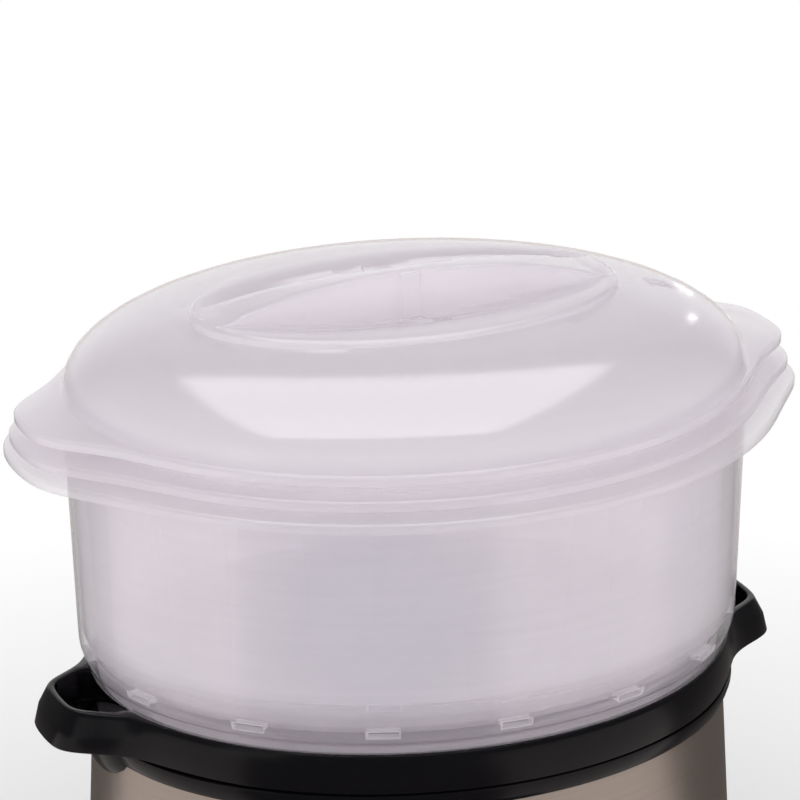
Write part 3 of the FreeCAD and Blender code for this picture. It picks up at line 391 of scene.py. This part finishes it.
def brushed_wrap(name):
    """Stainless sheet with fine level brush lines, some broad and some hair-fine."""
    finish, start = new_finish(name)
    lines = noise(start, (6, 6, 900), scale=1.0, detail=5.0, roughness=0.7)
    fine = noise(start, (30, 30, 4200), scale=1.0, detail=3.0, roughness=0.6)
    both = lines * 0.5 + fine * 0.5
    close_finish(start, start.node("ShaderNodeBsdfPrincipled", None, {
        "Base Color": both.tint((0.34, 0.29, 0.265, 1), (0.55, 0.485, 0.44, 1)), "Metallic": 1.0,
        "Roughness": both * 0.16 + 0.26, "Normal": bumps(start, both, strength=0.35, depth=0.00006)}))
    return finish


dress("steel_sleeve", brushed_wrap("brushed_steel"))


# Trim ring: glossy black moulding that covers the wrap's upper edge. A narrow shadow groove parts it
# from the collar above.

gloss_black = moulded_plastic(
    "gloss_black_plastic", (0.0025, 0.0022, 0.0030, 1), (0.0050, 0.0044, 0.0060, 1),
    roughness=0.2, grain_size=0.02, grain_depth=0.00003, shine=0.22)
eased("trim_ring", "base", gloss_black, width=0.0005)


# Collar: the top of the base, moulded from the same glossy black plastic, with the two filler
# handles and a sump under each.

eased("collar", "base", gloss_black, width=0.0006)


# Steam ring and drip tray: the ring stands over the heater and makes it steam sooner, and the
# translucent tray on the collar's ledge keeps drips out of the tank.

dress("steam_ring", moulded_plastic(
    "ring_plastic", (0.3, 0.3, 0.32, 1), (0.42, 0.42, 0.44, 1),
    roughness=0.4, grain_size=0.002, grain_depth=0.0001))

ripple_density = 0.03        # how much denser the crest of a ripple is than its trough
gloss_face_on = 0.04
gloss_edge_on = 0.94
gloss_falloff = 5.0


def milky_plastic(name, cool, warm, body, edge, lit_through, shaded=None, thickened=None):
    """Translucent polypropylene: cloudy, with a soft gloss. body and edge are its density seen face
    on and edge on. shaded and thickened, where given, are functions that change its colour and its
    density from place to place."""
    finish, start = new_finish(name)
    cloud = noise(start, (1, 1, 1.6), scale=9.0, detail=2.0)
    ripple = noise(start, (20, 20, 260), scale=1.0, detail=3.0)
    colour = cloud.tint(cool, warm)
    if shaded:
        colour = shaded(start, colour, ripple * 0.5 + cloud * 0.6)
    facing = start.node("ShaderNodeLayerWeight", None, {"Blend": 0.3}, "Facing")
    density = facing * (edge - body) + (body - ripple_density / 2) + ripple * ripple_density
    if thickened:
        density = thickened(start, density)
    bump = bumps(start, ripple, strength=0.1, depth=0.00004)
    skin = start.node("ShaderNodeBsdfPrincipled", None, {
        "Base Color": colour, "Roughness": cloud * 0.1 + 0.25, "Normal": bump, "IOR": 1.49,
        "Specular IOR Level": 0.0})
    glow = start.node("ShaderNodeBsdfTranslucent", None, {"Color": (0.985, 0.963, 0.98, 1)})
    clear = start.node("ShaderNodeBsdfTransparent", None, {"Color": (1, 0.99, 1, 1)})
    cloudy = start.layer(density, clear, start.layer(lit_through, skin, glow))
    gloss = start.node("ShaderNodeBsdfGlossy", None, {
        "Color": (1, 1, 1, 1), "Roughness": 0.13, "Normal": bump})
    tilt = start.node("ShaderNodeLayerWeight", None, {"Blend": 0.5}, "Facing")
    share = tilt ** gloss_falloff * (gloss_edge_on - gloss_face_on) + gloss_face_on
    close_finish(start, start.layer(share, cloudy, gloss))
    return finish


eased("drip_tray", "drip_tray", milky_plastic(
    "tray_plastic", (0.72, 0.71, 0.75, 1), (0.78, 0.75, 0.78, 1),
    body=0.34, edge=0.7, lit_through=0.4), width=0.0003)


# Baskets: two translucent tubs of the same build, one nested in the other, each with a flange,
# two lifting tabs, a slotted floor and a foot ring.

clear_level = 0.1375         # below this the wall is clearest
cloudy_level = 0.163         # and above this it isn't cleared
foot_clearness = 0.8         # share of the density that is gone where the wall is clearest
ring_density = 0.5
# painted shade: a soft grey cloud on the front of the baskets' walls, where they stand in shade
front_shade_middle = (-0.056, -0.108, 0.190)
front_shade_reach = (0.048, 0.055, 0.042)
painted_shade_colour = (0.83, 0.835, 0.885, 1)
front_shade_strength = 0.85
front_shade_core = 1.15             # distance, as a share of the reach, within which the cloud is full
front_shade_fringe = 1.85           # and at which it ends
foot_long_half = 0.132       # half the length of the large basket's foot ring, outside
foot_short_half = 0.1135     # half its width
nest_inset = 0.0052          # how far the medium basket's foot ring stands inside that
nest_rise = 0.009            # and how far above it
slot_level = 0.1448          # middle of the large basket's drain slots
slot_half_length = 0.006
slot_half_height = 0.0013
drain_slots = 15
first_slot_turn = radians(-91.3)
rim_start = 0.0002           # from a slot's edge to where its rim begins to thin out
rim_end = 0.0009             # and to where it ends
wall_share = 0.975           # square of the share of the oval beyond which the wall stands


def coordinate(start, axis):
    """One of the object's own coordinates: X, Y or Z."""
    return start.node("ShaderNodeSeparateXYZ", None, {0: object_place(start)}, axis)


def flow_grey(start, colour, streaks):
    """The colour with a painted shade in it: a soft grey cloud on the front of the wall."""
    apart = object_place(start).vector("SUBTRACT", front_shade_middle).vector("DIVIDE", front_shade_reach)
    streaked = apart.vector("LENGTH", out="Value") + streaks
    return streaked.slope(front_shade_core, front_shade_fringe, front_shade_strength, 0.0).tint(colour, painted_shade_colour)


def cleared_foot(start, density):
    """The density let down towards the foot, with faint rings where it is clearest."""
    low = coordinate(start, "Z").slope(clear_level, cloudy_level, 1.0, 0.0)
    rings = noise(start, (2, 2, 420), scale=1.0, detail=2.0)
    return density * (1.0 - low * foot_clearness) + (rings - 0.5) * low * ring_density


def slot_rims(start, long_half, short_half, middle):
    """1 on the rims round the drain slots, which are evenly spaced round the oval, and 0 elsewhere."""
    end = coordinate(start, "X") * (1.0 / long_half)
    side = coordinate(start, "Y") * (1.0 / short_half)
    wall = start.calc("GREATER_THAN", end * end + side * side, wall_share)
    angle = start.calc("ARCTAN2", side, end)
    # the ellipse's own angle is turned into one that runs evenly along the oval
    lean = (long_half - short_half) / (long_half + short_half) / 2
    even = angle - start.calc("SINE", angle * 2.0) * lean
    even = angle - start.calc("SINE", even * 2.0) * lean
    mean_half = (long_half + short_half) / 2
    along = start.calc("PINGPONG", even - first_slot_turn, pi / drain_slots) * mean_half
    apart = start.calc("ABSOLUTE", coordinate(start, "Z") - middle)
    in_length = along.slope(slot_half_length + rim_start, slot_half_length + rim_end, 1.0, 0.0)
    in_height = apart.slope(slot_half_height + rim_start, slot_half_height + rim_end, 1.0, 0.0)
    return wall * in_length * in_height


def basket_plastic(name, inset, rise, rim_density):
    """The plastic of one basket. inset and rise are how far its foot ring stands inside and above
    the large basket's."""

    def thickened(start, density):
        rims = slot_rims(start, foot_long_half - inset, foot_short_half - inset, slot_level + rise)
        return cleared_foot(start, density) + rims * rim_density

    # the basket's colour carries a painted shade at the front of its wall
    return milky_plastic(
        name, (0.92, 0.90, 0.94, 1), (0.97, 0.935, 0.955, 1), body=0.27, edge=0.6, lit_through=0.42,
        shaded=flow_grey, thickened=thickened)


eased("basket_large", "basket_large", basket_plastic(
    "outer_basket_plastic", inset=0.0, rise=0.0, rim_density=0.42), width=0.0004)
eased("basket_medium", "basket_medium", basket_plastic(
    "inner_basket_plastic", inset=nest_inset, rise=nest_rise, rim_density=0.2), width=0.0004)


# Lid: a dome moulded from the same plastic, with a hand grip between two hollows, two lifting tabs
# and a small steam vent. It rests on the medium basket's mouth.

eased("lid", "lid", milky_plastic(
    "lid_plastic", (0.93, 0.90, 0.95, 1), (0.97, 0.935, 0.96, 1),
    body=0.5, edge=0.62, lit_through=0.42), width=0.0004)


# Studio: a wide white floor under soft light from all round, brightest near the horizon and from
# the front. What glossy surfaces mirror is darker, with bright places on the left, at the front
# right and behind; on the floor, that dimness and those bright places are painted reflections.

floor_width = 12.0
behind_object = Vector((0.374, 0.927, 0.0))      # level, away from the camera
# headings of the pools of light painted into the floor's colour, seen only in gloss
painted_pool_headings = (Vector((-0.9986, 0.052, 0.0)), Vector((0.643, -0.766, 0.0)))
shaded_within = 0.16         # distance from the middle at which the floor begins to whiten
white_beyond = 0.5           # and at which it is white
near_white = 0.45            # share of white within that
# painted reflection: gloss sees the floor painted dim, with painted pools of light and a painted
# brightening behind the object
painted_mirror_dimness = 0.16        # how bright gloss sees the floor outside its bright places
painted_pool_brightness = 0.86         # what a bright place adds to that
painted_pool_edge = 0.84             # cosine of the angle from a bright place's middle to its edge
painted_pool_core = 0.91             # and to where it is brightest
painted_behind_brightness = 0.9        # what the floor behind the object adds
mirrored_air = 0.14          # how bright gloss sees the air, except behind the object
horizon_light = 1.63
overhead_light = 0.22
front_light = 0.3            # added towards the camera


def studio_floor_finish(name):
    """White to the camera, fading to a shaded card near the object. Mirrored, it is a painted reflection,
    dim and warm with painted pools of light.
    """
    finish, start = new_finish(name)
    seen = start.node("ShaderNodeLightPath", None, None, "Is Camera Ray")
    mirrored = start.node("ShaderNodeLightPath", None, None, "Is Glossy Ray")
    spot = object_place(start)
    far = spot.vector("LENGTH", out="Value").slope(shaded_within, white_beyond, near_white, 1.0, "LINEAR")
    heading = spot.vector("NORMALIZE")
    # painted reflection: the floor's colour for gloss, painted dim with painted pools of light
    painted_pools = painted_mirror_dimness
    for place in painted_pool_headings:
        near = heading.vector("DOT_PRODUCT", place, "Value")
        painted_pools = near.slope(painted_pool_edge, painted_pool_core, 0.0, painted_pool_brightness) + painted_pools
    beyond = heading.vector("DOT_PRODUCT", behind_object, "Value")
    painted_pools = beyond.slope(0.8, 0.95, 0.0, painted_behind_brightness, "LINEAR") * far + painted_pools
    warm = painted_pools.tint((0.0, 0.0, 0.0, 1), (1.0, 0.93, 0.88, 1))
    white = start.node("ShaderNodeEmission", None, {"Color": (1, 1, 1, 1), "Strength": 1.0})
    card = start.node("ShaderNodeBsdfDiffuse", None, {"Color": (0.8, 0.8, 0.8, 1)})
    dim = start.node("ShaderNodeBsdfDiffuse", None, {"Color": warm})
    close_finish(start, start.layer(seen * far, start.layer(mirrored, card, dim), white))
    return finish


def light_the_air(world):
    """White to the camera. Soft light falls off with height and is stronger from the front. What
    gloss sees is dim, except behind the object."""
    world.use_nodes = True
    world.node_tree.nodes.clear()
    air = Wire(world.node_tree)
    seen = air.node("ShaderNodeLightPath", None, None, "Is Camera Ray")
    mirrored = air.node("ShaderNodeLightPath", None, None, "Is Glossy Ray")
    toward = air.node("ShaderNodeTexCoord", None, None, "Generated")
    behind = toward.vector("DOT_PRODUCT", behind_object, "Value")
    backdrop = behind.slope(0.75, 0.95, mirrored_air, 1.0, "LINEAR")
    height = air.node("ShaderNodeSeparateXYZ", None, {0: toward}, "Z")
    around = height.slope(0.1, 0.9, horizon_light, overhead_light, "LINEAR")
    ahead = toward.vector("DOT_PRODUCT", -behind_object, "Value")
    around = ahead.slope(0.0, 1.0, 0.0, front_light, "LINEAR") + around
    soft = air.node("ShaderNodeMix", {"data_type": "FLOAT"}, {0: mirrored, 2: around, 3: backdrop})
    strength = seen * (1.0 - soft) + soft
    sky = air.node("ShaderNodeBackground", None, {"Color": (1, 1, 1, 1), "Strength": strength})
    air.node("ShaderNodeOutputWorld", None, {"Surface": sky})


bpy.ops.object.select_all(action="DESELECT")
bpy.ops.mesh.primitive_plane_add(size=floor_width, location=(0, 0, 0))
floor = bpy.context.active_object
floor.name = "studio_floor"
floor.data.materials.append(studio_floor_finish("floor_white"))

bpy.context.scene.world = bpy.data.worlds.new("studio_air")
light_the_air(bpy.context.scene.world)
bpy.context.scene.cycles.transparent_max_bounces = 32
bpy.context.scene.cycles.diffuse_bounces = 6
bpy.context.scene.cycles.max_bounces = 16


# Lamps: a wide soft box overhead, with a second one close under it that only shows in gloss, two
# small ones for the glints on the dome's right, and one on the left.

def turned_at(place, right, rise, out):
    """The matrix of something at a place, with its right, its rise and its back along these."""
    return Matrix((
        (right.x, rise.x, out.x, place.x),
        (right.y, rise.y, out.y, place.y),
        (right.z, rise.z, out.z, place.z),
        (0, 0, 0, 1)))


def soft_box(name, place, aim, width, height, watts, side, gloss_only=False):
    """A rectangular lamp with its face towards aim. side is where its height runs."""
    lamp = bpy.data.lights.new(name, "AREA")
    lamp.shape = "RECTANGLE"
    lamp.size = width
    lamp.size_y = height
    lamp.energy = watts
    holder = bpy.data.objects.new(name, lamp)
    bpy.context.scene.collection.objects.link(holder)
    out = (Vector(place) - Vector(aim)).normalized()
    right = Vector(side).cross(out).normalized()
    holder.matrix_world = turned_at(Vector(place), right, out.cross(right), out)
    holder.visible_diffuse = not gloss_only
    holder.visible_transmission = not gloss_only


under_boxes = (0.097, 0.24, 0.0)
glint_spot = (0.11, -0.03, 0.273)
glint_places = ((1.04, 1.045, 0.703), (0.943, 1.242, 0.317))
upright = (0, 0, 1)
soft_box("overhead_box", (0.097, 0.24, 1.47), under_boxes, width=1.28, height=1.72, watts=1.6,
         side=behind_object)
soft_box("sheen_box", (0.097, 0.24, 1.45), under_boxes, width=1.26, height=1.70, watts=20.0,
         side=behind_object, gloss_only=True)
for number, place in enumerate(glint_places):
    soft_box("glint_box_%d" % number, place, glint_spot, width=0.05, height=0.05, watts=0.06,
             side=upright, gloss_only=True)
soft_box("left_box", (-1.6, -0.8, 0.5), (0, 0, 0.15), width=0.7, height=1.2, watts=1.2, side=upright)


# Camera: a long lens at the object's left front, about twenty degrees above level. It looks at the
# middle of the object, a little over the collar.

view_lift = 0.3388908        # radians above the horizon
view_turn = -0.3836448       # radians round the object, from straight in front
view_roll = -0.0100390       # radians
view_distance = 1.7342362
view_shift = 0.0027153       # of the eye, to its left
seat_height = 0.135          # top of the collar
aim_rise = 0.1032536         # from there to the level that the camera looks at
focal_pixels = 4337.59       # focal length in pixels of the picture
picture_pixels = 800
sensor_width = 36.0          # millimetres

back = Vector((sin(view_turn) * cos(view_lift), -cos(view_turn) * cos(view_lift), sin(view_lift)))
across = Vector((cos(view_turn), sin(view_turn), 0.0))
upward = back.cross(across)
level_across = cos(view_roll) * across + sin(view_roll) * upward
level_up = cos(view_roll) * upward - sin(view_roll) * across
eye = Vector((0, 0, seat_height + aim_rise)) + back * view_distance - across * view_shift
camera = bpy.data.objects.new("studio_camera", bpy.data.cameras.new("studio_camera"))
bpy.context.scene.collection.objects.link(camera)
camera.data.lens = focal_pixels / picture_pixels * sensor_width
camera.data.sensor_width = sensor_width
camera.data.clip_start = 0.05
camera.data.clip_end = 40.0
camera.matrix_world = turned_at(eye, level_across, level_up, back)
bpy.context.scene.camera = camera
bpy.context.scene.view_settings.view_transform = "Standard"
